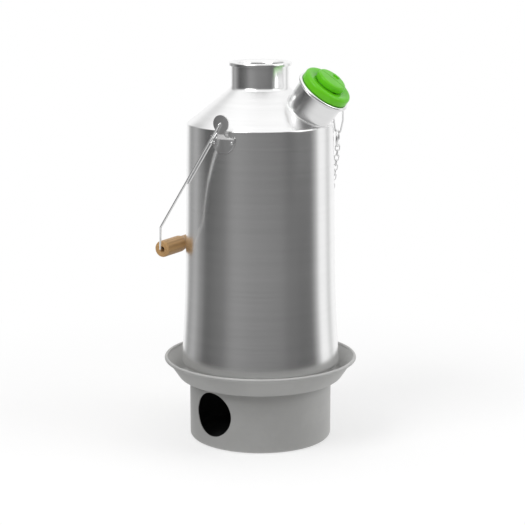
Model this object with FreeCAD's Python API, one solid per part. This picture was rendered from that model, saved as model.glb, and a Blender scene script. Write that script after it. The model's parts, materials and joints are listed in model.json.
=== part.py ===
import FreeCAD, Part
import math
import os
from FreeCAD import Vector

os.makedirs("parts", exist_ok=True)

# Storm kettle, in millimetres and degrees. Z points up, the origin is the middle of the
# fire pot's underside, the spout points along +X and the two ears stand on -Y and +Y.

# Clearances
RUN_GAP = 0.3           # between pieces that move past each other
SEAT_GAP = 0.05         # between sheets that are pressed or welded together
PIN_GAP = 0.08          # radial play of a wire in its hole
LINK_GAP = 0.1          # between the wires of two linked rings

# Sheet metal
SHEET = 0.9

# Fire pot
POT_RADIUS = 68.9
POT_HEIGHT = 59.0
POT_CORNER = 4.0
POT_PANEL_INSET = 10.4
POT_PANEL_RISE = 1.5
POT_PANEL_SLOPE = 2.0
AIR_HOLE_RADIUS = 21.5
AIR_HOLE_DROP = 25.3
AIR_HOLE_BEARING = -103.0

# Fire dish
DISH_FLOOR_WIDTH = 9.4
DISH_BEND_ROUND = 6.0
DISH_WALL_ANGLE = 55.9
DISH_WALL_LENGTH = 23.5
RIM_OUT = 0.325
RIM_ROLL = 1.7

# Water jacket, outer wall; its heights are counted from the dish's floor up, and its
# radii from the collar outwards and then back in
HEEL_RISE = 11.6
HEEL_OUT = 6.8
HEEL_ROUND = 6.0
FLARE_RISE = 56.3
FLARE_IN = 4.44
FLARE_ROUND = 1480.0
JACKET_HEIGHT = 245.6
WALL_TOP_IN = 2.86

# Shoulder and neck, each above the one before
SHOULDER_SEAM = 1.9
SHOULDER_ROUND = 1.5
SHOULDER_RISE = 33.8
NECK_RADIUS = 27.6
NECK_FOOT_ROUND = 5.5
NECK_LENGTH = 23.1

# Fire cone and chimney
COLLAR_OUT = 1.5
COLLAR_RISE = 16.1
COLLAR_ROUND = 4.0
CHIMNEY_BORE = 22.5
CHIMNEY_FOOT_DROP = 1.5
CONE_TOP_DROP = 4.0
CONE_TOP_ROUND = 30.0
MOUTH_OVERHANG = 1.25
MOUTH_ROUND = 5.0
MOUTH_LIP_ROUND = 1.6
MOUTH_LIP_DROP = 3.2

# Spout
SPOUT_RISE = 51.5
SPOUT_LIP_IN = 3.0
SPOUT_LIP_RISE = 33.1
SPOUT_LENGTH = 45.0
SPOUT_FOOT_RADIUS = 21.2
SPOUT_TOP_RADIUS = 23.7
LIP_RING_RADIUS = 24.7
LIP_ROLL = 1.9

# Stopper, measured along the spout's axis from the lip ring's middle
PLUG_DEPTH = 14.0
PLUG_GAP = 0.4
PLUG_RIB = 0.5
PLUG_RIB_GAP = 0.2
PLUG_RIB_DEPTHS = (4.0, 10.0)
FLANGE_RADIUS = 24.3
FLANGE_THICKNESS = 8.0
FLANGE_ROUND = 3.0
FLANGE_CREST = 20.0
FLANGE_CREST_ROUND = 8.0
FLANGE_VALLEY = 1.5
KNOB_NECK_RADIUS = 12.6
KNOB_NECK_LENGTH = 1.2
KNOB_RADIUS = 14.5
KNOB_HEIGHT = 6.3
KNOB_CROWN = 0.6
KNOB_SLOT_WIDTH = 0.8
KNOB_SLOT_DEPTH = 0.6
KNOB_SLOT_ANGLE = 15.0
KNOB_RIDGE_START = -2.0
KNOB_RIDGE_LENGTH = 6.0
KNOB_RIDGE_OFFSET = 6.8
KNOB_RIDGE_WIDTH = 2.6
KNOB_RIDGE_HEIGHT = 1.4
WHISTLE_BORE = 5.0
WHISTLE_DISC_RADIUS = 5.8
WHISTLE_DISC_THICKNESS = 0.5
WHISTLE_DISC_DEPTHS = (9.0, 5.5)
WHISTLE_HOLE = 0.8
STEAM_OUTLET = 1.2
STEAM_OUTLET_ANGLE = -25.0

# Eyelet, clip and split ring between the stopper and its chain
EYELET_RADIUS = 3.4
EYELET_WIRE = 0.8
EYELET_OUT = 27.0
EYELET_UP = 6.0
CLIP_WIRE = 0.9
CLIP_END_WIDTH = 5.4
CLIP_BELLY_WIDTH = 9.8
CLIP_BELLY = 0.72
CLIP_END_ROUND = 2.1
CLIP_BELLY_ROUND = 6.0
RING_RADIUS = 8.0
RING_WIRE = 1.1
RING_DROP = 14.1
RING_OFF_WALL = 5.1
RING_TURN = 18.0

# Chain and its bracket
LINK_COUNT = 59
LINK_PITCH = 5.2
LINK_LENGTH = 7.6
LINK_WIDTH = 5.2
LINK_WIRE = 0.525
CHAIN_START_BEARING = 37.6
CHAIN_END_BEARING = 180.0
CHAIN_END_RISE = 54.5
CHAIN_EASE_LINKS = 7
BRACKET_WIDTH = 18.0
BRACKET_HEIGHT = 9.0
BRACKET_THICKNESS = 1.2
BRACKET_ROUND = 3.0
STAPLE_WIRE = 0.9
BRACKET_RIVET_SPREAD = 6.6

# Ears and rivets, with the ears' heights counted down from the pivot
EAR_THICKNESS = 1.5
EAR_OFF_WALL = 3.5
EAR_EYE_RADIUS = 8.0
EAR_NECK_WIDTH = 7.8
EAR_JOGGLE_TOP_DROP = 9.6
EAR_JOGGLE_FOOT_DROP = 14.1
EAR_FOOT_RADIUS = 12.15
EAR_FOOT_DROP = 15.4
EAR_HORN_DROP = 11.4
EAR_NOTCH_RADIUS = 4.2
EAR_NOTCH_OFFSET = 7.9
EAR_NOTCH_DROP = 9.6
EAR_RIVET_OFFSET = 9.1
EAR_RIVET_DROP = 18.1
RIVET_HEAD_RADIUS = 1.5
RIVET_HEAD_HEIGHT = 0.8
RIVET_SHANK_RADIUS = 0.8
RIVET_TAIL = 0.6

# Bail and grip
PIVOT_RISE = 9.1
BAIL_WIRE = 1.0
BAIL_SPREAD = 4.5
BAIL_SHOULDER_RISE = 32.0
BAIL_GRIP_OUT = 56.0
BAIL_GRIP_ROUND = 4.0
BAIL_SHOULDER_ROUND = 6.0
HOOK_OFF_EAR = 3.5
HOOK_WIDTH = 5.4
HOOK_ROUND = 1.8
HOOK_DROP = 10.7
TAIL_ROUND = 2.4
TAIL_START_DROP = 20.2
TAIL_END_DROP = 66.0
TAIL_INSET = 0.6
TAIL_OFFSET = 2.2
GRIP_DROP = 128.2
GRIP_LENGTH = 106.0
GRIP_RADIUS = 8.0
GRIP_WAIST_RADIUS = 6.7
GRIP_WAIST_HALF = 16.0
GRIP_BARREL_START = 22.0
GRIP_END_ROUND = 1.5
GRIP_WAIST_ROUND = 8.0
GRIP_SINK_RADIUS = 2.75
GRIP_SINK_DEPTH = 6.0

UP = Vector(0, 0, 1)
ALONG_X = Vector(1, 0, 0)
ALONG_Y = Vector(0, 1, 0)
ORIGIN = Vector(0, 0, 0)

POT_BORE = POT_RADIUS - SHEET
POT_PANEL_RADIUS = POT_RADIUS - POT_PANEL_INSET
DISH_BEND_RADIUS = POT_RADIUS + DISH_FLOOR_WIDTH
COLLAR_RADIUS = POT_RADIUS + COLLAR_OUT
HEEL_RADIUS = COLLAR_RADIUS + HEEL_OUT
FLARE_RADIUS = HEEL_RADIUS - FLARE_IN
WALL_TOP_RADIUS = FLARE_RADIUS - WALL_TOP_IN
AIR_HOLE_HEIGHT = POT_HEIGHT - AIR_HOLE_DROP
DISH_FLOOR = POT_HEIGHT + SHEET
HEEL_HEIGHT = DISH_FLOOR + HEEL_RISE
FLARE_HEIGHT = HEEL_HEIGHT + FLARE_RISE
WALL_TOP_HEIGHT = DISH_FLOOR + JACKET_HEIGHT
SHOULDER_HEIGHT = WALL_TOP_HEIGHT + SHOULDER_SEAM
NECK_FOOT_HEIGHT = SHOULDER_HEIGHT + SHOULDER_RISE
NECK_TOP_HEIGHT = NECK_FOOT_HEIGHT + NECK_LENGTH
COLLAR_HEIGHT = DISH_FLOOR + COLLAR_RISE
CHIMNEY_FOOT_HEIGHT = WALL_TOP_HEIGHT - CHIMNEY_FOOT_DROP
CONE_TOP = CHIMNEY_FOOT_HEIGHT - CONE_TOP_DROP
CHIMNEY_OUTER = CHIMNEY_BORE + SHEET
MOUTH_HEIGHT = NECK_TOP_HEIGHT + RUN_GAP + SHEET
MOUTH_RADIUS = NECK_RADIUS + MOUTH_OVERHANG + SHEET
SPOUT_TAPER = (SPOUT_TOP_RADIUS - SPOUT_FOOT_RADIUS) / SPOUT_LENGTH
FLANGE_SEAT = LIP_ROLL + 0.2
FLANGE_TOP = FLANGE_SEAT + FLANGE_THICKNESS
KNOB_FOOT = FLANGE_TOP - FLANGE_VALLEY
KNOB_BASE = KNOB_FOOT + KNOB_NECK_LENGTH
KNOB_TOP = KNOB_BASE + KNOB_HEIGHT
RING_OUT = WALL_TOP_RADIUS + RING_OFF_WALL
RING_HEIGHT = WALL_TOP_HEIGHT - RING_DROP
CHAIN_END_HEIGHT = HEEL_HEIGHT + CHAIN_END_RISE
PIVOT_HEIGHT = WALL_TOP_HEIGHT + PIVOT_RISE
EAR_STANDOFF = WALL_TOP_RADIUS + EAR_OFF_WALL
EAR_RIVET_HEIGHT = PIVOT_HEIGHT - EAR_RIVET_DROP
HOOK_OUT = EAR_STANDOFF + HOOK_OFF_EAR
HOOK_IN = HOOK_OUT - HOOK_WIDTH
BAIL_SHOULDER_OUT = HOOK_OUT + BAIL_SPREAD
GRIP_HEIGHT = PIVOT_HEIGHT - GRIP_DROP
SPOUT_PLACE = FreeCAD.Placement(
    Vector(WALL_TOP_RADIUS - SPOUT_LIP_IN, 0, SHOULDER_HEIGHT + SPOUT_LIP_RISE),
    FreeCAD.Rotation(ALONG_Y, 90 - SPOUT_RISE))


def around(bearing, radius, height):
    """Point at a bearing about the kettle's axis, counted from +X towards +Y."""
    turn = math.radians(bearing)
    return Vector(radius * math.cos(turn), radius * math.sin(turn), height)


def rounded_edges(points, radii):
    """Straight runs through the points, with a tangent arc at each inner one."""
    edges = []
    start = points[0]
    for before, corner, after, radius in zip(points, points[1:], points[2:], radii):
        come = (corner - before).normalize()
        go = (after - corner).normalize()
        turn = come.getAngle(go)
        reach = radius * math.tan(turn / 2)
        first = corner - come * reach
        last = corner + go * reach
        inward = (go - come).normalize()
        middle = corner + inward * (radius / math.cos(turn / 2) - radius)
        edges.append(Part.LineSegment(start, first).toShape())
        edges.append(Part.Arc(first, middle, last).toShape())
        start = last
    edges.append(Part.LineSegment(start, points[-1]).toShape())
    return edges


def left_of(start, end):
    """Unit vector in the XZ plane to the left of the way from start to end."""
    return Vector(start.z - end.z, 0, end.x - start.x).normalize()


def shifted_outline(points, radii, offset):
    """The outline moved to its left by an offset, with the radii of its corners."""
    sides = [left_of(start, end) for start, end in zip(points, points[1:])]
    moved = [points[0] + sides[0] * offset]
    rounds = []
    for before, after, corner, radius in zip(sides, sides[1:], points[1:], radii):
        moved.append(corner + (before + after) * (offset / (1 + before.dot(after))))
        turns_left = before.cross(after).y < 0
        rounds.append(radius - offset if turns_left else radius + offset)
    moved.append(points[-1] + sides[-1] * offset)
    return moved, rounds


def spun_sheet(outline, radii, thickness):
    """Sheet spun about Z: the outline is one face, the other lies to its left."""
    points = [Vector(radius, 0, height) for radius, height in outline]
    others, rounds = shifted_outline(points, radii, thickness)
    edges = rounded_edges(points, radii)
    edges.append(Part.LineSegment(points[-1], others[-1]).toShape())
    edges.extend(rounded_edges(others[::-1], rounds[::-1]))
    edges.append(Part.LineSegment(others[0], points[0]).toShape())
    return spun(edges)


def spun_solid(outline, radii):
    """Solid spun about Z from a closed outline that starts and ends on one line."""
    points = [Vector(radius, 0, height) for radius, height in outline]
    edges = rounded_edges(points, radii)
    edges.append(Part.LineSegment(points[-1], points[0]).toShape())
    return spun(edges)


def spun(edges):
    """One full turn of the face inside the edges about Z."""
    wire = Part.Wire(Part.__sortEdges__(edges))
    solid = Part.Face(wire).revolve(ORIGIN, UP, 360)
    if solid.Volume < 0:
        solid.reverse()
    return solid


def wire_along(points, radii, wire_radius):
    """Round wire bent along the points."""
    path = Part.Wire(rounded_edges(points, radii))
    start_way = (points[1] - points[0]).normalize()
    section = Part.Wire(Part.Circle(points[0], start_way, wire_radius).toShape())
    return path.makePipeShell([section], True, False)


def closed_wire_along(points, radii, wire_radius):
    """Round wire bent into a closed loop, whose first point lies on a straight run."""
    path = Part.Wire(rounded_edges(points + [points[0]], radii))
    start_way = (points[1] - points[0]).normalize()
    section = Part.Wire(Part.Circle(points[0], start_way, wire_radius).toShape())
    return path.makePipeShell([section], True, False)


def frame_at(origin, x_axis, y_axis):
    """Placement whose X and Y axes are given, both unit and square to each other."""
    z_axis = x_axis.cross(y_axis)
    return FreeCAD.Placement(FreeCAD.Matrix(
        x_axis.x, y_axis.x, z_axis.x, origin.x,
        x_axis.y, y_axis.y, z_axis.y, origin.y,
        x_axis.z, y_axis.z, z_axis.z, origin.z,
        0, 0, 0, 1))


def placed(shape, placement):
    """A copy of a shape, carried from its own frame by a placement."""
    copy = shape.copy()
    copy.Placement = placement
    return copy


def square_to(vector, axis):
    """Unit vector along the part of a vector that is square to an axis."""
    return (vector - axis * vector.dot(axis)).normalize()


def wall_radius(height):
    """Outer radius of the water jacket's wall at a height above its heel."""
    low = (FLARE_RADIUS - HEEL_RADIUS) / (FLARE_HEIGHT - HEEL_HEIGHT)
    high = (WALL_TOP_RADIUS - FLARE_RADIUS) / (WALL_TOP_HEIGHT - FLARE_HEIGHT)
    turn = math.atan(high) - math.atan(low)
    lean = (math.atan(high) + math.atan(low)) / 2
    reach = FLARE_ROUND * math.tan(turn / 2)
    if height < FLARE_HEIGHT - reach * math.cos(math.atan(low)):
        return FLARE_RADIUS + (height - FLARE_HEIGHT) * low
    if height > FLARE_HEIGHT + reach * math.cos(math.atan(high)):
        return FLARE_RADIUS + (height - FLARE_HEIGHT) * high
    away = FLARE_ROUND / math.cos(turn / 2)
    centre_radius = FLARE_RADIUS + away * math.cos(lean)
    centre_height = FLARE_HEIGHT - away * math.sin(lean)
    return centre_radius - math.sqrt(FLARE_ROUND ** 2 - (height - centre_height) ** 2)


def fire_pot():
    """Round pot with a raised bottom panel and the air hole in its wall."""
    outline = [
        (0, POT_PANEL_RISE),
        (POT_PANEL_RADIUS, POT_PANEL_RISE),
        (POT_PANEL_RADIUS + POT_PANEL_SLOPE, 0),
        (POT_RADIUS, 0),
        (POT_RADIUS, POT_HEIGHT),
    ]
    pot = spun_sheet(outline, [SHEET, 2 * SHEET, POT_CORNER], SHEET)
    way = around(AIR_HOLE_BEARING, 1, 0)
    start = around(AIR_HOLE_BEARING, POT_RADIUS / 2, AIR_HOLE_HEIGHT)
    return pot.cut(Part.makeCylinder(AIR_HOLE_RADIUS, POT_RADIUS, start, way))


def fire_dish():
    """Sloped drip dish welded on the pot, with a rolled rim."""
    slope = math.radians(DISH_WALL_ANGLE)
    top_radius = DISH_BEND_RADIUS + DISH_WALL_LENGTH * math.cos(slope)
    top_height = POT_HEIGHT + DISH_WALL_LENGTH * math.sin(slope)
    outline = [
        (POT_BORE, POT_HEIGHT),
        (DISH_BEND_RADIUS, POT_HEIGHT),
        (top_radius, top_height),
    ]
    dish = spun_sheet(outline, [DISH_BEND_ROUND], SHEET)
    rim = Part.makeTorus(top_radius + RIM_OUT, RIM_ROLL, Vector(0, 0, top_height), UP)
    return dish.fuse(rim)


def body_wall():
    """Outer wall of the water jacket, with a turned-in heel and a slight flare."""
    outline = [
        (COLLAR_RADIUS + SEAT_GAP, HEEL_HEIGHT),
        (HEEL_RADIUS, HEEL_HEIGHT),
        (FLARE_RADIUS, FLARE_HEIGHT),
        (WALL_TOP_RADIUS, WALL_TOP_HEIGHT),
    ]
    return spun_sheet(outline, [HEEL_ROUND, FLARE_ROUND], SHEET)


def shoulder_outline():
    """Outer face of the shoulder and neck, from the wall's top edge upwards."""
    return [
        (WALL_TOP_RADIUS, WALL_TOP_HEIGHT),
        (WALL_TOP_RADIUS, SHOULDER_HEIGHT),
        (NECK_RADIUS, NECK_FOOT_HEIGHT),
        (NECK_RADIUS, NECK_TOP_HEIGHT),
    ]


def shoulder():
    """Conical shoulder with the neck, opened for the spout."""
    cap = spun_sheet(shoulder_outline(), [SHOULDER_ROUND, NECK_FOOT_ROUND], SHEET)
    return cap.cut(spout_cone(SHEET))


def firebox_cone():
    """Inner cone over the fire, whose collar stands on the dish."""
    outline = [
        (COLLAR_RADIUS, DISH_FLOOR + SEAT_GAP),
        (COLLAR_RADIUS, COLLAR_HEIGHT),
        (CHIMNEY_OUTER, CONE_TOP),
        (CHIMNEY_OUTER, CHIMNEY_FOOT_HEIGHT),
    ]
    return spun_sheet(outline, [COLLAR_ROUND, CONE_TOP_ROUND], SHEET)


def chimney_tube():
    """Chimney through the neck, with a mouth rolled over the neck's edge."""
    outline = [
        (CHIMNEY_BORE, CHIMNEY_FOOT_HEIGHT),
        (CHIMNEY_BORE, MOUTH_HEIGHT),
        (MOUTH_RADIUS, MOUTH_HEIGHT),
        (MOUTH_RADIUS, MOUTH_HEIGHT - MOUTH_LIP_DROP),
    ]
    return spun_sheet(outline, [MOUTH_ROUND, MOUTH_LIP_ROUND], -SHEET)


def spout_cone(inset):
    """Solid inside the spout's outer face, moved in by an inset."""
    cone = Part.makeCone(SPOUT_FOOT_RADIUS - inset, SPOUT_TOP_RADIUS - inset, SPOUT_LENGTH)
    cone.translate(Vector(0, 0, -SPOUT_LENGTH))
    return placed(cone, SPOUT_PLACE.multiply(cone.Placement))


def spout_tube():
    """Slanted filling spout that ends on the shoulder, with a rolled lip."""
    tube = spout_cone(0).cut(spout_cone(SHEET))
    inside = [(0, WALL_TOP_HEIGHT - SPOUT_LENGTH), (WALL_TOP_RADIUS, WALL_TOP_HEIGHT - SPOUT_LENGTH)]
    inside.extend(shoulder_outline()[1:])
    inside.append((0, NECK_TOP_HEIGHT))
    core = spun_solid(inside, [SHEET, SHOULDER_ROUND, NECK_FOOT_ROUND, SHEET])
    tube = max(tube.cut(core).Solids, key=lambda solid: solid.Volume)
    lip = placed(Part.makeTorus(LIP_RING_RADIUS, LIP_ROLL), SPOUT_PLACE)
    return tube.fuse(lip)


def spout_bore(depth):
    """Inner radius of the spout at a depth below the lip ring's middle."""
    return SPOUT_TOP_RADIUS - SHEET - SPOUT_TAPER * depth


def eyelet_ring(wire_radius):
    """Upright ring through the edge of the stopper's flange."""
    return Part.makeTorus(EYELET_RADIUS, wire_radius, eyelet_centre(), ALONG_X)


def eyelet_centre():
    """Middle of the stopper's eyelet, beside the flange."""
    return SPOUT_PLACE.multVec(Vector(0, EYELET_OUT, EYELET_UP))


def stopper_body():
    """Soft plug with a flange and a round knob, bored for the whistle."""
    outline = [
        (0, -PLUG_DEPTH),
        (spout_bore(PLUG_DEPTH) - PLUG_GAP, -PLUG_DEPTH),
        (spout_bore(0) - PLUG_GAP, FLANGE_SEAT),
        (FLANGE_RADIUS, FLANGE_SEAT),
        (FLANGE_RADIUS, FLANGE_TOP),
        (FLANGE_CREST, FLANGE_TOP),
        (KNOB_NECK_RADIUS, KNOB_FOOT),
        (KNOB_NECK_RADIUS, KNOB_BASE),
        (KNOB_RADIUS, KNOB_BASE),
        (KNOB_RADIUS, KNOB_TOP),
        (0, KNOB_TOP + KNOB_CROWN),
    ]
    radii = [1.0, 0.3, 0.8, FLANGE_ROUND, FLANGE_CREST_ROUND, 0.5, 0.4, 0.8, 2.0]
    body = spun_solid(outline, radii)
    for depth in PLUG_RIB_DEPTHS:
        rib_middle = spout_bore(depth) - PLUG_RIB_GAP - PLUG_RIB
        body = body.fuse(Part.makeTorus(rib_middle, PLUG_RIB, Vector(0, 0, -depth), UP))
    ridge = Part.makeBox(KNOB_RIDGE_LENGTH, KNOB_RIDGE_WIDTH, KNOB_HEIGHT)
    ridge.translate(Vector(KNOB_RIDGE_START, KNOB_RIDGE_OFFSET, KNOB_BASE + KNOB_RIDGE_HEIGHT))
    ridge.rotate(ORIGIN, UP, KNOB_SLOT_ANGLE)
    body = body.fuse(ridge)
    slot = Part.makeBox(2 * KNOB_RADIUS, KNOB_SLOT_WIDTH, KNOB_HEIGHT)
    slot.translate(Vector(-KNOB_RADIUS, -KNOB_SLOT_WIDTH / 2, KNOB_TOP - KNOB_SLOT_DEPTH))
    slot.rotate(ORIGIN, UP, KNOB_SLOT_ANGLE)
    body = body.cut(slot)
    bore_length = PLUG_DEPTH + KNOB_BASE
    body = body.cut(Part.makeCylinder(WHISTLE_BORE, bore_length, Vector(0, 0, -PLUG_DEPTH)))
    outlet_way = around(STEAM_OUTLET_ANGLE, 1, 0)
    outlet_start = Vector(0, 0, KNOB_BASE - STEAM_OUTLET / 2)
    body = body.cut(Part.makeCylinder(STEAM_OUTLET, KNOB_RADIUS, outlet_start, outlet_way))
    for depth in WHISTLE_DISC_DEPTHS:
        groove = Part.makeCylinder(
            WHISTLE_DISC_RADIUS + SEAT_GAP, WHISTLE_DISC_THICKNESS + 2 * SEAT_GAP,
            Vector(0, 0, -depth - SEAT_GAP))
        body = body.cut(groove)
    return placed(body, SPOUT_PLACE).cut(eyelet_ring(EYELET_WIRE + SEAT_GAP))


def whistle_disc(depth):
    """Thin disc with one small hole, held in a groove of the whistle bore."""
    disc = Part.makeCylinder(WHISTLE_DISC_RADIUS, WHISTLE_DISC_THICKNESS, Vector(0, 0, -depth))
    hole = Part.makeCylinder(WHISTLE_HOLE, WHISTLE_DISC_THICKNESS, Vector(0, 0, -depth))
    return placed(disc.cut(hole), SPOUT_PLACE)


def stopper_eyelet():
    """Wire ring that ties the stopper to its clip."""
    return eyelet_ring(EYELET_WIRE)


def ring_centre():
    """Middle of the split ring that hangs beside the wall."""
    return around(CHAIN_START_BEARING, RING_OUT, RING_HEIGHT)


def clip_ends():
    """Highest and lowest point of the clip's wire, inside the eyelet and the ring."""
    rise = EYELET_WIRE + CLIP_WIRE + LINK_GAP
    top = eyelet_centre() + UP * (rise - EYELET_RADIUS)
    fall = RING_WIRE + CLIP_WIRE + LINK_GAP
    return top, ring_centre() + UP * (RING_RADIUS - fall)


def stopper_clip():
    """Long leaf-shaped wire clip that joins the eyelet and the split ring."""
    top, foot = clip_ends()
    down = (foot - top).normalize()
    across = square_to(ALONG_X, down)
    end = across * (CLIP_END_WIDTH / 2)
    belly = across * (CLIP_BELLY_WIDTH / 2)
    middle = top + (foot - top) * CLIP_BELLY
    points = [top, top + end, middle + belly, foot + end, foot - end, middle - belly, top - end]
    radii = [CLIP_END_ROUND, CLIP_BELLY_ROUND, CLIP_END_ROUND]
    return closed_wire_along(points, radii + radii, CLIP_WIRE)


def split_ring():
    """Ring between the clip and the first chain link."""
    way = around(CHAIN_START_BEARING + 90 - RING_TURN, 1, 0)
    return Part.makeTorus(RING_RADIUS, RING_WIRE, ring_centre(), way.cross(UP))


def staple_standoff():
    """Distance from the wall to the middle of the bracket's staple."""
    return BRACKET_THICKNESS + RUN_GAP + LINK_WIDTH / 2


def chain_ease(index):
    """Extra distance from the wall of a link near either end of the chain."""
    start_extra = RING_OUT - wall_radius(RING_HEIGHT) - RUN_GAP - LINK_WIDTH / 2
    end_extra = staple_standoff() - RUN_GAP - LINK_WIDTH / 2
    from_start = max(0.0, 1 - index / CHAIN_EASE_LINKS)
    from_end = max(0.0, 1 - (LINK_COUNT - 1 - index) / CHAIN_EASE_LINKS)
    return start_extra * from_start + end_extra * from_end


def chain_points():
    """Middles of the links, which hang along the wall in a catenary."""
    start_drop = LINK_LENGTH / 2 - 2 * LINK_WIRE - RING_WIRE - LINK_GAP
    hook = ring_centre() - UP * RING_RADIUS
    start_height = hook.z - start_drop
    drop = start_height - CHAIN_END_HEIGHT
    length = (LINK_COUNT - 1) * LINK_PITCH
    sweep = CHAIN_END_BEARING - CHAIN_START_BEARING
    span = math.radians(sweep) * (wall_radius(CHAIN_END_HEIGHT) + LINK_WIDTH)
    slack, tight = span / 20, span * 20
    for _ in range(80):
        curve = (slack + tight) / 2
        sagging = 2 * curve * math.sinh(span / (2 * curve)) > math.sqrt(length ** 2 - drop ** 2)
        slack, tight = (curve, tight) if sagging else (slack, curve)
    low = span / 2 + curve * math.atanh(drop / length)
    low_height = start_height - curve * (math.cosh(low / curve) - 1)
    points = []
    for index in range(LINK_COUNT):
        along = index * LINK_PITCH - curve * math.sinh(low / curve)
        side = curve * math.asinh(along / curve)
        height = low_height + curve * (math.cosh(side / curve) - 1)
        bearing = CHAIN_START_BEARING + sweep * (low + side) / span
        out = wall_radius(height) + RUN_GAP + LINK_WIDTH / 2 + chain_ease(index)
        points.append(around(bearing, out, height))
    points[0] = hook + (points[1] - hook).normalize() * start_drop
    return points


def chain_link():
    """One oval link, long way along X and flat in the XY plane."""
    half_length = LINK_LENGTH / 2 - LINK_WIRE
    half_width = LINK_WIDTH / 2 - LINK_WIRE
    points = [
        Vector(0, half_width, 0),
        Vector(half_length, half_width, 0),
        Vector(half_length, -half_width, 0),
        Vector(-half_length, -half_width, 0),
        Vector(-half_length, half_width, 0),
    ]
    return closed_wire_along(points, [half_width - SEAT_GAP] * 4, LINK_WIRE)


def chain_links():
    """All links of the chain, each turned a quarter from the last."""
    points = chain_points()
    link = chain_link()
    links = []
    for index, point in enumerate(points):
        before = points[max(index - 1, 0)]
        after = points[min(index + 1, LINK_COUNT - 1)]
        along = (after - before).normalize()
        outward = square_to(Vector(point.x, point.y, 0), along)
        flat_way = outward if index % 2 == 0 else along.cross(outward)
        links.append(placed(link, frame_at(point, along, flat_way)))
    return Part.makeCompound(links)


def staple_frame():
    """Frame of the staple: X follows the last link, Y points away from the wall."""
    points = chain_points()
    along = (points[-1] - points[-2]).normalize()
    outward = around(CHAIN_END_BEARING, 1, 0)
    along = square_to(along, outward)
    reach = LINK_LENGTH / 2 - 2 * LINK_WIRE - STAPLE_WIRE - LINK_GAP
    return frame_at(points[-1] + along * reach, along, outward)


def chain_bracket():
    """Small plate on the wall with a staple that holds the last link."""
    frame = staple_frame()
    centre = frame.Base
    height = centre.z
    half_width = BRACKET_WIDTH / 2
    half_height = BRACKET_HEIGHT / 2
    face_outline = [
        Vector(0, 0, height - half_height),
        Vector(0, half_width, height - half_height),
        Vector(0, half_width, height + half_height),
        Vector(0, -half_width, height + half_height),
        Vector(0, -half_width, height - half_height),
    ]
    edges = rounded_edges(face_outline + [face_outline[0]], [BRACKET_ROUND] * 4)
    out = wall_radius(height) + BRACKET_THICKNESS
    block = Part.Face(Part.Wire(edges)).extrude(Vector(-2 * out, 0, 0))
    block.rotate(Vector(0, 0, height), UP, CHAIN_END_BEARING - 180)
    low = (wall_radius(height - half_height) + SEAT_GAP, height - half_height)
    high = (wall_radius(height + half_height) + SEAT_GAP, height + half_height)
    plate = spun_sheet([low, high], [], -BRACKET_THICKNESS).common(block)
    standoff = staple_standoff() - BRACKET_THICKNESS
    foot = centre - frame.Rotation.multVec(ALONG_Y) * standoff
    ring = Part.makeTorus(standoff, STAPLE_WIRE, foot, frame.Rotation.multVec(ALONG_X))
    keep = Part.makeCylinder(2 * out, 4 * out, Vector(0, 0, -out)).cut(
        Part.makeCylinder(out, 4 * out, Vector(0, 0, -out)))
    return plate.fuse(ring.common(keep))


def rivet(point, way, grip):
    """Round-headed rivet: the head starts at the point and looks along the way."""
    ball_radius = (RIVET_HEAD_RADIUS ** 2 + RIVET_HEAD_HEIGHT ** 2) / (2 * RIVET_HEAD_HEIGHT)
    head = Part.makeSphere(ball_radius, Vector(0, 0, RIVET_HEAD_HEIGHT - ball_radius))
    head = head.common(Part.makeCylinder(2 * RIVET_HEAD_RADIUS, RIVET_HEAD_HEIGHT))
    shank = Part.makeCylinder(RIVET_SHANK_RADIUS, grip, Vector(0, 0, -grip))
    tail = Part.makeCylinder(RIVET_HEAD_RADIUS, RIVET_TAIL, Vector(0, 0, -grip - RIVET_TAIL))
    turn = FreeCAD.Rotation(UP, way)
    return placed(head.fuse([shank, tail]), FreeCAD.Placement(point, turn))


def ear(side):
    """Stamped ear with an eye for the bail; side is -1 in front and 1 behind."""
    foot_height = PIVOT_HEIGHT - EAR_FOOT_DROP
    low_height = foot_height - EAR_FOOT_RADIUS
    joggle_height = PIVOT_HEIGHT - EAR_JOGGLE_FOOT_DROP
    section = [
        (wall_radius(low_height) + SEAT_GAP, low_height),
        (wall_radius(joggle_height) + SEAT_GAP, joggle_height),
        (EAR_STANDOFF, PIVOT_HEIGHT - EAR_JOGGLE_TOP_DROP),
        (EAR_STANDOFF, PIVOT_HEIGHT + EAR_EYE_RADIUS),
    ]
    shell = spun_sheet(section, [2 * EAR_THICKNESS, EAR_THICKNESS], -EAR_THICKNESS)
    depth = 2 * EAR_STANDOFF
    eye = Part.makeCylinder(EAR_EYE_RADIUS, depth, Vector(0, 0, PIVOT_HEIGHT), ALONG_Y)
    foot = Part.makeCylinder(EAR_FOOT_RADIUS, depth, Vector(0, 0, foot_height), ALONG_Y)
    above = Part.makeBox(4 * EAR_FOOT_RADIUS, depth, EAR_FOOT_RADIUS,
                         Vector(-2 * EAR_FOOT_RADIUS, 0, PIVOT_HEIGHT - EAR_HORN_DROP))
    foot = foot.cut(above)
    for hand in (-1, 1):
        notch_centre = Vector(hand * EAR_NOTCH_OFFSET, 0, PIVOT_HEIGHT - EAR_NOTCH_DROP)
        foot = foot.cut(Part.makeCylinder(EAR_NOTCH_RADIUS, depth, notch_centre, ALONG_Y))
    neck = Part.makeBox(EAR_NECK_WIDTH, depth, EAR_FOOT_DROP,
                        Vector(-EAR_NECK_WIDTH / 2, 0, foot_height))
    stamped = shell.common(eye.fuse([foot, neck]))
    hole = Part.makeCylinder(BAIL_WIRE + PIN_GAP, depth, Vector(0, 0, PIVOT_HEIGHT), ALONG_Y)
    stamped = stamped.cut(hole)
    for hand in (-1, 1):
        stamped = stamped.cut(rivet_bore(*ear_rivet_spot(1, hand)))
    if side < 0:
        stamped.rotate(ORIGIN, UP, 180)
    return stamped


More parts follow.
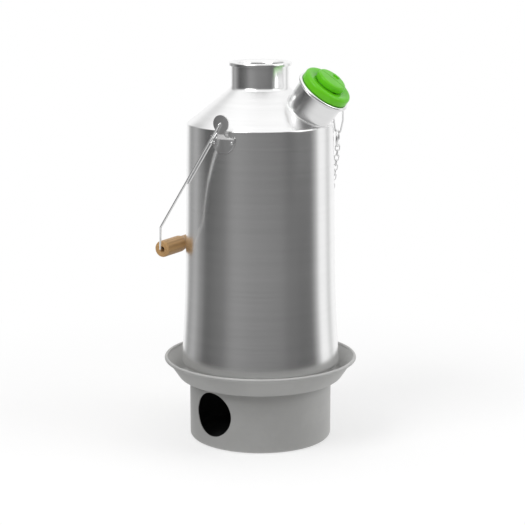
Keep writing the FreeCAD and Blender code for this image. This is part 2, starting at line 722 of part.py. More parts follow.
def on_wall(bearing, height):
    """Point on the wall's outer face, and the way that the face looks there."""
    slope = (wall_radius(height + 1) - wall_radius(height - 1)) / 2
    way = around(bearing, 1, -slope).normalize()
    return around(bearing, wall_radius(height), height), way


def ear_rivet_spot(side, hand):
    """Point on the wall under an ear's rivet, and the way the rivet looks."""
    turn = math.degrees(math.asin(EAR_RIVET_OFFSET / wall_radius(EAR_RIVET_HEIGHT)))
    return on_wall(side * (90 + hand * turn), EAR_RIVET_HEIGHT)


def bracket_rivet_spot(hand):
    """Point on the wall under one of the bracket's rivets, and its way."""
    height = staple_frame().Base.z
    turn = math.degrees(math.asin(hand * BRACKET_RIVET_SPREAD / wall_radius(height)))
    return on_wall(CHAIN_END_BEARING + turn, height)


def rivet_bore(point, way):
    """Drill for a rivet's shank through the wall and what lies on it."""
    return Part.makeCylinder(RIVET_SHANK_RADIUS + SEAT_GAP, 6 * SHEET, point - way * 3 * SHEET, way)


def seated_rivet(point, way, plate_thickness):
    """Rivet through the wall and a plate of a thickness on it."""
    top = plate_thickness + 2 * SEAT_GAP
    grip = top + SHEET + SEAT_GAP
    return rivet(point + way * top, way, grip)


def ear_rivets():
    """The four rivets that hold the ears."""
    spots = [ear_rivet_spot(side, hand) for side in (-1, 1) for hand in (-1, 1)]
    return Part.makeCompound([seated_rivet(point, way, EAR_THICKNESS) for point, way in spots])


def bracket_rivets():
    """The two rivets that hold the chain's bracket."""
    spots = [bracket_rivet_spot(hand) for hand in (-1, 1)]
    return Part.makeCompound([seated_rivet(point, way, BRACKET_THICKNESS) for point, way in spots])


def grip_out():
    """Distance of the grip's axis from the kettle's, with its waist near the wall."""
    return wall_radius(GRIP_HEIGHT) + RUN_GAP + GRIP_WAIST_RADIUS


def bail_reach():
    """Distance between the grip's axis and the pivot in the ears."""
    return math.hypot(grip_out(), PIVOT_HEIGHT - GRIP_HEIGHT)


def bail_place():
    """Frame of the hanging bail: Y along the grip, Z from the grip to the pivot."""
    lean = math.degrees(math.atan2(grip_out(), PIVOT_HEIGHT - GRIP_HEIGHT))
    return FreeCAD.Placement(Vector(-grip_out(), 0, GRIP_HEIGHT), FreeCAD.Rotation(ALONG_Y, lean))


def bail_wire():
    """One bent wire through the grip, hooked into the ears and doubled back."""
    reach = bail_reach()
    tail_slope = (BAIL_SHOULDER_OUT - HOOK_OUT) / (reach - BAIL_SHOULDER_RISE)
    half = [
        Vector(0, BAIL_GRIP_OUT, 0),
        Vector(0, BAIL_SHOULDER_OUT, BAIL_SHOULDER_RISE),
        Vector(0, HOOK_OUT, reach),
        Vector(0, HOOK_IN, reach),
        Vector(0, HOOK_IN, reach - HOOK_DROP),
    ]
    for fall in (TAIL_START_DROP, TAIL_END_DROP):
        out = HOOK_OUT + tail_slope * fall - TAIL_INSET
        half.append(Vector(TAIL_OFFSET, out, reach - fall))
    radii = [BAIL_GRIP_ROUND, BAIL_SHOULDER_ROUND, HOOK_ROUND, HOOK_ROUND, TAIL_ROUND, BAIL_GRIP_ROUND]
    other = [Vector(point.x, -point.y, point.z) for point in half]
    bent = wire_along(other[::-1] + half, radii[::-1] + radii, BAIL_WIRE)
    return placed(bent, bail_place())


def bail_grip():
    """Turned wooden grip with a waist, bored for the wire."""
    half = GRIP_LENGTH / 2
    outline = [
        (0, -half),
        (GRIP_RADIUS, -half),
        (GRIP_RADIUS, -GRIP_BARREL_START),
        (GRIP_WAIST_RADIUS, -GRIP_WAIST_HALF),
        (GRIP_WAIST_RADIUS, GRIP_WAIST_HALF),
        (GRIP_RADIUS, GRIP_BARREL_START),
        (GRIP_RADIUS, half),
        (0, half),
    ]
    waist = [GRIP_WAIST_ROUND] * 4
    grip = spun_solid(outline, [GRIP_END_ROUND] + waist + [GRIP_END_ROUND])
    grip = grip.cut(Part.makeCylinder(BAIL_WIRE + PIN_GAP, GRIP_LENGTH, Vector(0, 0, -half)))
    for height in (-half, half - GRIP_SINK_DEPTH):
        grip = grip.cut(Part.makeCylinder(GRIP_SINK_RADIUS, GRIP_SINK_DEPTH, Vector(0, 0, height)))
    lie = FreeCAD.Placement(ORIGIN, FreeCAD.Rotation(Vector(1, 0, 0), 90))
    return placed(grip, bail_place().multiply(lie))


def drilled_wall():
    """The body wall with the holes for its rivets."""
    wall = body_wall()
    spots = [ear_rivet_spot(side, hand) for side in (-1, 1) for hand in (-1, 1)]
    spots.extend(bracket_rivet_spot(hand) for hand in (-1, 1))
    for point, way in spots:
        wall = wall.cut(rivet_bore(point, way))
    return wall


def drilled_bracket():
    """The bracket with the holes for its rivets."""
    bracket = chain_bracket()
    for hand in (-1, 1):
        bracket = bracket.cut(rivet_bore(*bracket_rivet_spot(hand)))
    return bracket


PIECES = {
    "fire_pot": fire_pot(),
    "fire_dish": fire_dish(),
    "body_wall": drilled_wall(),
    "shoulder": shoulder(),
    "firebox_cone": firebox_cone(),
    "chimney_tube": chimney_tube(),
    "spout_tube": spout_tube(),
    "stopper_body": stopper_body(),
    "whistle_disc_lower": whistle_disc(WHISTLE_DISC_DEPTHS[0]),
    "whistle_disc_upper": whistle_disc(WHISTLE_DISC_DEPTHS[1]),
    "stopper_eyelet": stopper_eyelet(),
    "stopper_clip": stopper_clip(),
    "split_ring": split_ring(),
    "chain_links": chain_links(),
    "chain_bracket": drilled_bracket(),
    "bracket_rivets": bracket_rivets(),
    "ear_front": ear(-1),
    "ear_back": ear(1),
    "ear_rivets": ear_rivets(),
    "bail_wire": bail_wire(),
    "bail_grip": bail_grip(),
}

for name, shape in PIECES.items():
    shape.exportStep(f"parts/{name}.step")
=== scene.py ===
import json
import math

import bmesh
import bpy
from bpy.props import FloatProperty, FloatVectorProperty, IntProperty, PointerProperty
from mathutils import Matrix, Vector
from mathutils.bvhtree import BVHTree


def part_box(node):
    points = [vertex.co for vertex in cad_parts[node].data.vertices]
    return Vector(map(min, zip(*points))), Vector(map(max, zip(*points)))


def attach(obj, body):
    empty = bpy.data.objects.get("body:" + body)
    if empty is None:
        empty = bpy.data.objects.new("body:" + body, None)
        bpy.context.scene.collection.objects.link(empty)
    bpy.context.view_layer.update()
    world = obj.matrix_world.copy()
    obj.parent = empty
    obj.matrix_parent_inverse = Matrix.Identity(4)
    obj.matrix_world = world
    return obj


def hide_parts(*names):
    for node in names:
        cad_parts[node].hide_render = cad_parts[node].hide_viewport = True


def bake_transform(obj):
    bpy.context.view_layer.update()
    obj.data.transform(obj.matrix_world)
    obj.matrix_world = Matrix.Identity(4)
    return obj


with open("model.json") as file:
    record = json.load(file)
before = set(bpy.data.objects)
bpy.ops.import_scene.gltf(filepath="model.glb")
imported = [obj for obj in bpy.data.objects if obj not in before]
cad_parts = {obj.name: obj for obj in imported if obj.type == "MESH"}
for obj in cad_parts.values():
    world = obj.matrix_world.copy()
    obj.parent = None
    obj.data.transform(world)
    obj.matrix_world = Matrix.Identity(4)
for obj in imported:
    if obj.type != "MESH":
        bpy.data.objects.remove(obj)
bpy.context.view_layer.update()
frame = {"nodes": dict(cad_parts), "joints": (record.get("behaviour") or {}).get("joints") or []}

bl_info = {
    "name": "Storm kettle",
    "version": (1, 0, 0),
    "blender": (4, 5, 0),
    "location": "3D View > Sidebar > Kettle",
    "description": "Dresses the packed storm kettle and sets it on a pale studio floor",
    "category": "Object",
}

MM = 0.001
UP = Vector((0, 0, 1))
ORIGIN = Vector((0, 0, 0))
JOINTS = {joint["name"]: joint for joint in frame["joints"]}
SPOUT_WAY = Vector(JOINTS["stopper_pull"]["axis"]).normalized()
GRIP_WAY = Vector(JOINTS["grip_spin"]["axis"]).normalized()
GRIP_AT = Vector(JOINTS["grip_spin"]["pos_m"])


def from_display(red, green, blue):
    """Linear colour of a display colour given from 0 to 255."""
    def linear(value):
        share = value / 255
        return share / 12.92 if share <= 0.04045 else ((share + 0.055) / 1.055) ** 2.4
    return (linear(red), linear(green), linear(blue))


def colour_property(name, description, default):
    return FloatVectorProperty(
        name=name, description=description, default=default, subtype="COLOR", min=0, max=1)


def length_property(name, description, default):
    return FloatProperty(
        name=name, description=description, default=default, unit="LENGTH", min=0, precision=5)


class KETTLE_PG_sizes(bpy.types.PropertyGroup):
    lip_x: length_property("Lip X", "Middle of the spout's rolled lip, away from the axis", 66.9 * MM)
    lip_z: length_property("Lip Z", "Middle of the spout's rolled lip, above the floor", 340.5 * MM)
    bead_radius: length_property("Weld bead", "Radius of the bead round the spout's foot", 0.7 * MM)
    bead_ripple: FloatProperty(
        name="Bead ripple", description="Share of its radius by which the bead swells and thins",
        default=0.08, min=0, max=0.5)
    bead_ripples: IntProperty(name="Ripples", description="Ripples round the bead", default=90, min=1)
    link_length: length_property("Link length", "Outer length of a chain link", 7.6 * MM)
    link_width: length_property("Link width", "Outer width of a chain link", 5.2 * MM)
    link_wire: length_property("Link wire", "Radius of the chain's wire", 0.525 * MM)
    rivet_radius: length_property("Rivet radius", "Radius of a rivet's head", 1.5 * MM)
    rivet_height: length_property("Rivet height", "Height of a rivet's head", 0.8 * MM)
    sharp_angle: FloatProperty(
        name="Sharp angle", description="Edges that turn more than this stay sharp",
        default=math.radians(35), subtype="ANGLE", min=0, max=math.pi)


class KETTLE_PG_finish(bpy.types.PropertyGroup):
    body_colour: colour_property("Body", "Satin aluminium of the kettle", (0.90, 0.90, 0.90))
    base_colour: colour_property("Base", "Matte aluminium of pot and dish", (0.64, 0.64, 0.63))
    plate_colour: colour_property("Plate", "Stamped steel of ears and bracket", (0.74, 0.74, 0.74))
    wire_colour: colour_property("Wire", "Bright steel wire", (0.92, 0.92, 0.92))
    # Painted shade: a dark colour for the inner faces of the fire space, standing for the shade in there
    inside_shade_colour: colour_property("Painted shade", "Soot inside the fire space", (0.05, 0.05, 0.05))
    green_colour: colour_property("Green", "Moulded stopper", from_display(104, 206, 22))
    wood_light: colour_property("Wood light", "Pale grain of the grip", from_display(212, 170, 114))
    wood_dark: colour_property("Wood dark", "Dark grain of the grip", from_display(160, 120, 72))
    body_roughness: FloatProperty(
        name="Body roughness", description="Roughness of the satin wall", default=0.25, min=0, max=1)
    base_roughness: FloatProperty(
        name="Base roughness", description="Roughness of pot and dish", default=0.76, min=0, max=1)
    brush_depth: length_property("Brush depth", "Depth of the brushing lines", 0.012 * MM)


class KETTLE_PG_stage(bpy.types.PropertyGroup):
    azimuth: FloatProperty(
        name="Azimuth", description="Bearing of the camera about the kettle",
        default=math.radians(29), subtype="ANGLE")
    pitch: FloatProperty(
        name="Pitch", description="How far the camera looks down",
        default=math.radians(11.84), subtype="ANGLE")
    distance: length_property("Distance", "Camera to the kettle's axis, on plan", 1.6202)
    height: length_property("Height", "Camera above the floor", 0.5112)
    side_step: length_property("Side step", "Camera's step to its own right", 0.00207)
    lens: FloatProperty(name="Lens", description="Focal length in millimetres", default=117.31, min=1)
    floor_size: length_property("Floor", "Half width of the floor", 12.0)
    key_power: FloatProperty(name="Key", description="Power of the key lamp", default=9.0, min=0, unit="POWER")
    sky_strength: FloatProperty(
        name="Sky", description="Strength of the sky that lights matte surfaces", default=0.62, min=0)


def sizes():
    return bpy.context.scene.kettle_sizes


def finish():
    return bpy.context.scene.kettle_finish


def stage():
    return bpy.context.scene.kettle_stage


def lip_centre():
    return Vector((sizes().lip_x, 0, sizes().lip_z))


# Meshes

def linked(name, mesh, material):
    """New object of a mesh with one material, in the scene."""
    mesh.materials.clear()
    mesh.materials.append(material)
    piece = bpy.data.objects.new(name, mesh)
    bpy.context.scene.collection.objects.link(piece)
    return piece


def merged_mesh(node):
    """Copy of a node's mesh with its loose triangles joined."""
    mesh = frame["nodes"][node].data.copy()
    mesh.normals_split_custom_set_from_vertices([(0, 0, 0)] * len(mesh.vertices))
    shape = bmesh.new()
    shape.from_mesh(mesh)
    bmesh.ops.remove_doubles(shape, verts=shape.verts, dist=2e-6)
    bmesh.ops.dissolve_degenerate(shape, edges=shape.edges, dist=1e-7)
    shape.to_mesh(mesh)
    shape.free()
    if mesh.attributes.get("custom_normal"):
        mesh.attributes.remove(mesh.attributes["custom_normal"])
    return mesh


def smoothed(mesh):
    """Smooth shading that breaks at sharp edges."""
    mesh.polygons.foreach_set("use_smooth", [True] * len(mesh.polygons))
    mesh.set_sharp_from_angle(angle=sizes().sharp_angle)


def turned_normals(mesh, origin, way):
    """Takes the facets out of faces that are turned about an axis."""
    facet_lean = 0.12
    corners = [Vector(corner.vector) for corner in mesh.corner_normals]
    for face in mesh.polygons:
        across = way.cross(face.center - origin)
        if across.length < MM or abs(face.normal.dot(across.normalized())) > facet_lean:
            continue
        for loop in face.loop_indices:
            place = mesh.vertices[mesh.loops[loop].vertex_index].co
            tangent = way.cross(place - origin)
            if tangent.length > MM:
                tangent.normalize()
                straight = corners[loop] - tangent * corners[loop].dot(tangent)
                corners[loop] = straight.normalized()
    mesh.normals_split_custom_set(corners)


def dressed(node, material, body, axis=None):
    """Smooth piece that stands for a node; axis is the point and way it was turned about."""
    mesh = merged_mesh(node)
    smoothed(mesh)
    if axis:
        turned_normals(mesh, *axis)
    piece = linked(node + "_skin", mesh, material)
    kept(piece, body, node)
    return piece


def kept(piece, body, nodes):
    """Hangs a piece on the body it rides on and hides the nodes it stands for."""
    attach(piece, body)
    for node in [nodes] if isinstance(nodes, str) else nodes:
        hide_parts(node)


def islands(mesh):
    """Lists of the vertices of each loose part of a mesh."""
    shape = bmesh.new()
    shape.from_mesh(mesh)
    seen = set()
    groups = []
    for start in shape.verts:
        if start in seen:
            continue
        seen.add(start)
        group = [start]
        for vertex in group:
            for edge in vertex.link_edges:
                other = edge.other_vert(vertex)
                if other not in seen:
                    seen.add(other)
                    group.append(other)
        groups.append([vertex.co.copy() for vertex in group])
    shape.free()
    return groups


# Shader groups

def group_tree(name, inputs, outputs):
    """Empty shader group with named float inputs and named outputs."""
    tree = bpy.data.node_groups.new(name, "ShaderNodeTree")
    for label, value in inputs:
        socket = tree.interface.new_socket(label, in_out="INPUT", socket_type="NodeSocketFloat")
        socket.default_value = value
    for label, kind in outputs:
        tree.interface.new_socket(label, in_out="OUTPUT", socket_type=kind)
    start = tree.nodes.new("NodeGroupInput")
    end = tree.nodes.new("NodeGroupOutput")
    return tree, start, end


def noise_node(tree, vector, scale, detail=3.0, roughness=0.5):
    noise = tree.nodes.new("ShaderNodeTexNoise")
    noise.inputs["Detail"].default_value = detail
    noise.inputs["Roughness"].default_value = roughness
    if isinstance(scale, (int, float)):
        noise.inputs["Scale"].default_value = scale
    else:
        tree.links.new(scale, noise.inputs["Scale"])
    tree.links.new(vector, noise.inputs["Vector"])
    return noise.outputs["Fac"]


def mapped(tree, stretch, turn=(0, 0, 0), centre=(0, 0, 0)):
    """Object coordinates about a centre, turned back to upright, then stretched."""
    place = tree.nodes.new("ShaderNodeTexCoord")
    node = tree.nodes.new("ShaderNodeMapping")
    node.vector_type = "TEXTURE"
    node.inputs["Location"].default_value = centre
    node.inputs["Rotation"].default_value = turn
    node.inputs["Scale"].default_value = [1 / value for value in stretch]
    tree.links.new(place.outputs["Object"], node.inputs["Vector"])
    return node.outputs["Vector"]


def math_node(tree, operation, *values):
    node = tree.nodes.new("ShaderNodeMath")
    node.operation = operation
    for socket, value in zip(node.inputs, values):
        if isinstance(value, (int, float)):
            socket.default_value = value
        else:
            tree.links.new(value, socket)
    return node.outputs[0]


def spread(tree, value, low, high):
    """Maps a value from 0 to 1 onto low to high."""
    node = tree.nodes.new("ShaderNodeMapRange")
    node.inputs["To Min"].default_value = low
    node.inputs["To Max"].default_value = high
    tree.links.new(value, node.inputs["Value"])
    return node.outputs["Result"]


def stepped(tree, value, low, high):
    """Smooth step from 0 at low to 1 at high."""
    node = tree.nodes.new("ShaderNodeMapRange")
    node.interpolation_type = "SMOOTHSTEP"
    node.inputs["From Min"].default_value = low
    node.inputs["From Max"].default_value = high
    tree.links.new(value, node.inputs["Value"])
    return node.outputs["Result"]


def mixed(tree, factor, first, second):
    """Mix of two colours, each a socket or a colour."""
    node = tree.nodes.new("ShaderNodeMix")
    node.data_type = "RGBA"
    for name, value in (("A", first), ("B", second)):
        socket = [item for item in node.inputs if item.name == name and item.type == "RGBA"][0]
        if isinstance(value, bpy.types.NodeSocket):
            tree.links.new(value, socket)
        else:
            socket.default_value = (*value[:3], 1)
    factor_socket = [item for item in node.inputs if item.name == "Factor" and item.type == "VALUE"][0]
    tree.links.new(factor, factor_socket)
    return [item for item in node.outputs if item.type == "RGBA"][0]


def brushing_group():
    """Lines that spinning leaves round a Z axis: their height, and streaks of tone."""
    name = "Spinning lines"
    if name in bpy.data.node_groups:
        return bpy.data.node_groups[name]
    tree, start, end = group_tree(
        name, [("Around", 14.0), ("Across", 900.0)],
        [("Height", "NodeSocketFloat"), ("Streak", "NodeSocketFloat")])
    socket = tree.interface.new_socket("Place", in_out="INPUT", socket_type="NodeSocketVector")
    socket.hide_value = True
    parts = tree.nodes.new("ShaderNodeSeparateXYZ")
    tree.links.new(start.outputs["Place"], parts.inputs["Vector"])
    x, y, z = parts.outputs
    radius = math_node(tree, "SQRT", math_node(
        tree, "MULTIPLY_ADD", x, x, math_node(tree, "MULTIPLY", y, y)))
    profile = math_node(tree, "MULTIPLY_ADD", radius, 0.45, z)
    lines = tree.nodes.new("ShaderNodeCombineXYZ")
    tree.links.new(math_node(tree, "MULTIPLY", x, start.outputs["Around"]), lines.inputs["X"])
    tree.links.new(math_node(tree, "MULTIPLY", y, start.outputs["Around"]), lines.inputs["Y"])
    tree.links.new(math_node(tree, "MULTIPLY", profile, start.outputs["Across"]), lines.inputs["Z"])
    fine = noise_node(tree, lines.outputs["Vector"], 1.0, 4.0, 0.6)
    broad = noise_node(tree, lines.outputs["Vector"], 0.25, 2.0)
    tree.links.new(fine, end.inputs["Height"])
    tree.links.new(math_node(tree, "MULTIPLY_ADD", fine, 0.6, math_node(tree, "MULTIPLY", broad, 0.4)),
                   end.inputs["Streak"])
    return tree


def handling_group():
    """Soft marks from hands and weather, as a mask."""
    name = "Handling marks"
    if name in bpy.data.node_groups:
        return bpy.data.node_groups[name]
    tree, start, end = group_tree(name, [("Size", 1.0), ("Cover", 0.5)], [("Mask", "NodeSocketFloat")])
    place = tree.nodes.new("ShaderNodeTexCoord").outputs["Object"]
    patches = noise_node(tree, place, start.outputs["Size"], 5.0, 0.62)
    lifted = math_node(tree, "ADD", patches, math_node(tree, "SUBTRACT", start.outputs["Cover"], 0.5))
    tree.links.new(stepped(tree, lifted, 0.42, 0.68), end.inputs["Mask"])
    return tree


def placed_group(tree, group, **values):
    """A group in a material, with its values or links."""
    node = tree.nodes.new("ShaderNodeGroup")
    node.node_tree = group
    for name, value in values.items():
        socket = node.inputs[name]
        if isinstance(value, bpy.types.NodeSocket):
            tree.links.new(value, socket)
        else:
            socket.default_value = value
    return node.outputs


# Materials

def new_material(name):
    """Material with an empty tree, its shader and its output."""
    material = bpy.data.materials.new(name)
    material.use_nodes = True
    tree = material.node_tree
    tree.nodes.clear()
    output = tree.nodes.new("ShaderNodeOutputMaterial")
    shader = tree.nodes.new("ShaderNodeBsdfPrincipled")
    tree.links.new(shader.outputs["BSDF"], output.inputs["Surface"])
    return material, tree, shader


def bumped(tree, shader, height, distance, strength=1.0):
    """Bump from a height into the shader's normal."""
    bump = tree.nodes.new("ShaderNodeBump")
    bump.inputs["Distance"].default_value = distance
    bump.inputs["Strength"].default_value = strength
    tree.links.new(height, bump.inputs["Height"])
    tree.links.new(bump.outputs["Normal"], shader.inputs["Normal"])


def metal(name, colour, roughness, lines, marks=0.06, anisotropy=0.0):
    """Bare metal with fine lines and faint marks from handling.

    Returns its material, tree and shader.
    """
    material, tree, shader = new_material(name)
    height, streak = lines(tree)
    hands = placed_group(tree, handling_group(), Size=22.0, Cover=0.5)
    tone = mixed(tree, streak, [value * 0.93 for value in colour],
                 [min(1.0, value * 1.07) for value in colour])
    worn = mixed(tree, math_node(tree, "MULTIPLY", hands["Mask"], marks), tone,
                 [value * 0.85 for value in colour])
    tree.links.new(worn, shader.inputs["Base Color"])
    rough = spread(tree, streak, roughness * 0.92, roughness * 1.08)
    tree.links.new(math_node(tree, "MULTIPLY_ADD", hands["Mask"], marks * 0.1, rough),
                   shader.inputs["Roughness"])
    shader.inputs["Metallic"].default_value = 1.0
    shader.inputs["Anisotropic"].default_value = anisotropy
    bumped(tree, shader, height, finish().brush_depth, 0.5)
    return material, tree, shader


def spun_metal(name, colour, roughness, around, across, turn=(0, 0, 0), centre=(0, 0, 0), **looks):
    """Metal that was spun: lines run round its Z axis once it is turned back."""
    def lines(tree):
        group = placed_group(
            tree, brushing_group(), Place=mapped(tree, (1, 1, 1), turn, centre),
            Around=around, Across=across)
        return group["Height"], group["Streak"]
    return metal(name, colour, roughness, lines, **looks)


def drawn_metal(name, colour, roughness, stretch, **looks):
    """Metal with an even grain, stretched on each axis."""
    def lines(tree):
        grain = noise_node(tree, mapped(tree, stretch), 1.0, 4.0, 0.6)
        return grain, grain
    return metal(name, colour, roughness, lines, **looks)[0]


def brushed_round(made):
    """Turns a spun metal's gloss so that it stretches across its lines."""
    material, tree, shader = made
    tangent = tree.nodes.new("ShaderNodeTangent")
    tangent.direction_type = "RADIAL"
    tangent.axis = "Z"
    shader.inputs["Anisotropic Rotation"].default_value = 0.25
    tree.links.new(tangent.outputs["Tangent"], shader.inputs["Tangent"])
    return material


def body_metal():
    return brushed_round(spun_metal(
        "Satin aluminium", finish().body_colour, finish().body_roughness, 14, 900, anisotropy=0.55))


def spout_metal():
    """Spout sheet, brushed round the spout's own axis."""
    lean = math.atan2(SPOUT_WAY.x, SPOUT_WAY.z)
    return spun_metal(
        "Spout aluminium", finish().body_colour, finish().body_roughness, 30, 900,
        turn=(0, lean, 0), centre=lip_centre())[0]


def base_metal():
    return brushed_round(spun_metal(
        "Matte aluminium", finish().base_colour, finish().base_roughness, 10, 600,
        marks=0.25, anisotropy=0.2))


def plate_metal():
    return drawn_metal("Stamped steel", finish().plate_colour, 0.34, (300, 300, 60), marks=0.4)


def wire_metal():
    """Bright drawn wire with faint die lines."""
    return drawn_metal("Drawn steel wire", finish().wire_colour, 0.28, (500, 60, 500), marks=0.2)


def bead_metal():
    return drawn_metal("Weld bead", finish().body_colour, 0.34, (700, 700, 700), marks=0.3)


def painted_inside_shade():
    """Dark grainy matte for the fire's side of the metal: painted shade inside the fire space."""
    material, tree, shader = new_material("Painted shade")
    grain = noise_node(tree, mapped(tree, (1, 1, 1)), 260.0, 5.0, 0.7)
    # Painted shade: dark tone for the inside of the pot and the cone
    dark = finish().inside_shade_colour
    tree.links.new(mixed(tree, grain, dark, [value * 1.6 for value in dark]), shader.inputs["Base Color"])
    tree.links.new(spread(tree, grain, 0.85, 1.0), shader.inputs["Roughness"])
    shader.inputs["Specular IOR Level"].default_value = 0.1
    bumped(tree, shader, grain, 0.2 * MM)
    return material


def green_rubber():
    """Moulded stopper: glossy skin with a fine mould texture and faint scuffs."""
    material, tree, shader = new_material("Green moulding")
    fine = noise_node(tree, mapped(tree, (1, 1, 1)), 1500.0, 3.0, 0.6)
    broad = noise_node(tree, mapped(tree, (1, 1, 1)), 70.0, 3.0)
    green = finish().green_colour
    tone = mixed(tree, broad, [value * 0.88 for value in green], [value * 1.12 for value in green])
    hands = placed_group(tree, handling_group(), Size=60.0, Cover=0.5)
    pale = [value * 0.85 + 0.03 for value in green]
    tone = mixed(tree, math_node(tree, "MULTIPLY", hands["Mask"], 0.2), tone, pale)
    tree.links.new(tone, shader.inputs["Base Color"])
    tree.links.new(spread(tree, broad, 0.26, 0.36), shader.inputs["Roughness"])
    shader.inputs["Specular IOR Level"].default_value = 0.35
    bumped(tree, shader, math_node(tree, "ADD", math_node(tree, "MULTIPLY", fine, 0.3), broad), 0.05 * MM)
    return material


def grip_wood():
    """Turned beech: grain along the grip, short pores and growth rings on the ends."""
    material, tree, shader = new_material("Turned beech")
    along = mapped(tree, (260, 14, 260))
    grain = noise_node(tree, along, 1.0, 5.0, 0.65)
    pores = noise_node(tree, mapped(tree, (1500, 90, 1500)), 1.0, 2.0)
    pith = GRIP_AT + Vector((-4 * MM, 0, 3 * MM))
    ring_place = mapped(tree, (1, 0.04, 1), centre=pith)
    rings = tree.nodes.new("ShaderNodeTexWave")
    rings.wave_type = "RINGS"
    rings.rings_direction = "Y"
    rings.inputs["Scale"].default_value = 190.0
    rings.inputs["Distortion"].default_value = 1.6
    rings.inputs["Detail"].default_value = 2.0
    tree.links.new(ring_place, rings.inputs["Vector"])
    blend = math_node(
        tree, "MULTIPLY_ADD", rings.outputs["Fac"], 0.45, math_node(tree, "MULTIPLY", grain, 0.6))
    tone = mixed(tree, blend, finish().wood_dark, finish().wood_light)
    dark_pore = math_node(tree, "GREATER_THAN", pores, 0.7)
    tone = mixed(tree, math_node(tree, "MULTIPLY", dark_pore, 0.25), tone,
                 [value * 0.5 for value in finish().wood_dark])
    hands = placed_group(tree, handling_group(), Size=45.0, Cover=0.5)
    tone = mixed(tree, math_node(tree, "MULTIPLY", hands["Mask"], 0.18), tone, finish().wood_dark)
    tree.links.new(tone, shader.inputs["Base Color"])
    tree.links.new(spread(tree, grain, 0.42, 0.58), shader.inputs["Roughness"])
    shader.inputs["Coat Weight"].default_value = 0.15
    shader.inputs["Coat Roughness"].default_value = 0.3
    height = math_node(tree, "SUBTRACT", grain, math_node(tree, "MULTIPLY", dark_pore, 0.5))
    bumped(tree, shader, height, 0.08 * MM)
    return material


def material_named(name, maker):
    """The material of that name, made when it is first asked for."""
    return bpy.data.materials.get(name) or maker()


# Geometry nodes

def node_tree(name, inputs):
    """Geometry tree with a geometry input and output, and named inputs."""
    tree = bpy.data.node_groups.new(name, "GeometryNodeTree")
    tree.interface.new_socket("Geometry", in_out="INPUT", socket_type="NodeSocketGeometry")
    keys = {}
    for label, kind, value in inputs:
        socket = tree.interface.new_socket(label, in_out="INPUT", socket_type=kind)
        if value is not None:
            socket.default_value = value
        keys[label] = socket.identifier
    tree.interface.new_socket("Geometry", in_out="OUTPUT", socket_type="NodeSocketGeometry")
    return tree, tree.nodes.new("NodeGroupInput"), tree.nodes.new("NodeGroupOutput"), keys


def named_way(tree, name):
    node = tree.nodes.new("GeometryNodeInputNamedAttribute")
    node.data_type = "FLOAT_VECTOR"
    node.inputs["Name"].default_value = name
    return node.outputs["Attribute"]


def turn_to(tree, vector, axis, pivot="AUTO", rotation=None):
    node = tree.nodes.new("FunctionNodeAlignRotationToVector")
    node.axis = axis
    node.pivot_axis = pivot
    tree.links.new(vector, node.inputs["Vector"])
    if rotation:
        tree.links.new(rotation, node.inputs["Rotation"])
    return node.outputs["Rotation"]


def closed_tree(tree, end, geometry, material_socket):
    """Ends a tree: instances made real, smooth, with its material."""
    real = tree.nodes.new("GeometryNodeRealizeInstances")
    smooth = tree.nodes.new("GeometryNodeSetShadeSmooth")
    paint = tree.nodes.new("GeometryNodeSetMaterial")
    tree.links.new(geometry, smooth.inputs["Geometry"])
    tree.links.new(smooth.outputs["Geometry"], real.inputs["Geometry"])
    tree.links.new(real.outputs["Geometry"], paint.inputs["Geometry"])
    tree.links.new(material_socket, paint.inputs["Material"])
    tree.links.new(paint.outputs["Geometry"], end.inputs["Geometry"])


def link_tree():
    """Oval wire links on points, along and flat as the points say."""
    tree, start, end, keys = node_tree("Chain links", [
        ("Length", "NodeSocketFloat", 7.6 * MM), ("Width", "NodeSocketFloat", 5.2 * MM),
        ("Wire", "NodeSocketFloat", 0.5 * MM), ("Material", "NodeSocketMaterial", None)])
    oval = tree.nodes.new("GeometryNodeCurvePrimitiveQuadrilateral")
    wire = start.outputs["Wire"]
    long_side = math_node(tree, "SUBTRACT", start.outputs["Length"], math_node(tree, "MULTIPLY", wire, 2.0))
    short_side = math_node(tree, "SUBTRACT", start.outputs["Width"], math_node(tree, "MULTIPLY", wire, 2.0))
    tree.links.new(long_side, oval.inputs["Width"])
    tree.links.new(short_side, oval.inputs["Height"])
    fillet = tree.nodes.new("GeometryNodeFilletCurve")
    if hasattr(fillet, "mode"):
        fillet.mode = "POLY"
    tree.links.new(oval.outputs["Curve"], fillet.inputs["Curve"])
    fillet.inputs["Count"].default_value = 5
    fillet.inputs["Limit Radius"].default_value = True
    tree.links.new(math_node(tree, "MULTIPLY", short_side, 0.498), fillet.inputs["Radius"])
    circle = tree.nodes.new("GeometryNodeCurvePrimitiveCircle")
    circle.inputs["Resolution"].default_value = 9
    tree.links.new(wire, circle.inputs["Radius"])
    sweep = tree.nodes.new("GeometryNodeCurveToMesh")
    tree.links.new(fillet.outputs["Curve"], sweep.inputs["Curve"])
    tree.links.new(circle.outputs["Curve"], sweep.inputs["Profile Curve"])
    turn = turn_to(tree, named_way(tree, "along"), "X")
    turn = turn_to(tree, named_way(tree, "flat"), "Y", "X", turn)
    copies = tree.nodes.new("GeometryNodeInstanceOnPoints")
    tree.links.new(start.outputs["Geometry"], copies.inputs["Points"])
    tree.links.new(sweep.outputs["Mesh"], copies.inputs["Instance"])
    tree.links.new(turn, copies.inputs["Rotation"])
    closed_tree(tree, end, copies.outputs["Instances"], start.outputs["Material"])
    return tree, keys


